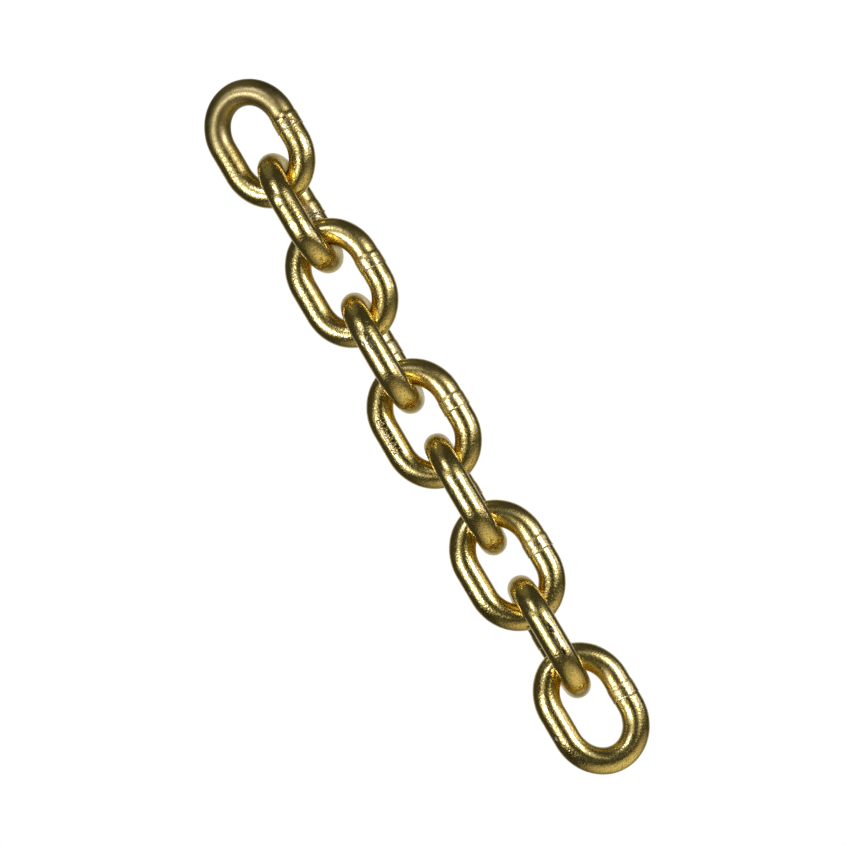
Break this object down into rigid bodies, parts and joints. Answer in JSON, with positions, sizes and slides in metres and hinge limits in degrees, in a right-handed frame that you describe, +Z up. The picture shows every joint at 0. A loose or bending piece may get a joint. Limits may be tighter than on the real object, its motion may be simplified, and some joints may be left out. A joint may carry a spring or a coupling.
{
  "type": "load binder chain",
  "caption": "Length of welded short-link steel chain in yellow plating, hanging from its upper eye. Its links swing in one another, and both end eyes are free for a hook or shackle.",
  "frame": {"origin": "bearing point of the upper eye: the underside of the top link's crown, where a hook or shackle pulls", "axes": "+Z up along the hanging chain; the middle link lies in the XZ plane with its weld at +X, and its stamped panel faces -Y"},
  "size_m": [0.0295, 0.0295, 0.235],
  "materials": {
    "plated_steel": "gloss"
  },
  "bodies": {
    "link_1_end": {"link_1_end": "plated_steel"},
    "link_2": {"link_2": "plated_steel"},
    "link_3": {"link_3": "plated_steel"},
    "link_4": {"link_4": "plated_steel"},
    "link_5_marked": {"link_5_marked": "plated_steel"},
    "link_6": {"link_6": "plated_steel"},
    "link_7": {"link_7": "plated_steel"},
    "link_8": {"link_8": "plated_steel"},
    "link_9_end": {"link_9_end": "plated_steel"}
  },
  "joints": [
    {"name": "link_2_swing", "type": "hinge", "parent": "link_1_end", "child": "link_2", "pos_m": [0, 0, -0.0286], "axis": [0.9823, -0.1874, 0], "range_deg": [-110, 110]},
    {"name": "link_3_swing", "type": "hinge", "parent": "link_2", "child": "link_3", "pos_m": [0, 0, -0.0529], "axis": [0.1409, 0.99, 0], "range_deg": [-110, 110]},
    {"name": "link_4_swing", "type": "hinge", "parent": "link_3", "child": "link_4", "pos_m": [0, 0, -0.0772], "axis": [-0.9956, 0.0941, 0], "range_deg": [-110, 110]},
    {"name": "link_5_swing", "type": "hinge", "parent": "link_4", "child": "link_5_marked", "pos_m": [0, 0, -0.1015], "axis": [-0.0471, -0.9989, 0], "range_deg": [-110, 110]},
    {"name": "link_6_swing", "type": "hinge", "parent": "link_5_marked", "child": "link_6", "pos_m": [0, 0, -0.1258], "axis": [1, 0, 0], "range_deg": [-110, 110]},
    {"name": "link_7_swing", "type": "hinge", "parent": "link_6", "child": "link_7", "pos_m": [0, 0, -0.1501], "axis": [-0.0471, 0.9989, 0], "range_deg": [-110, 110]},
    {"name": "link_8_swing", "type": "hinge", "parent": "link_7", "child": "link_8", "pos_m": [0, 0, -0.1744], "axis": [-0.9956, -0.0941, 0], "range_deg": [-110, 110]},
    {"name": "link_9_swing", "type": "hinge", "parent": "link_8", "child": "link_9_end", "pos_m": [0, 0, -0.1987], "axis": [0.1409, -0.99, 0], "range_deg": [-110, 110]}
  ]
}
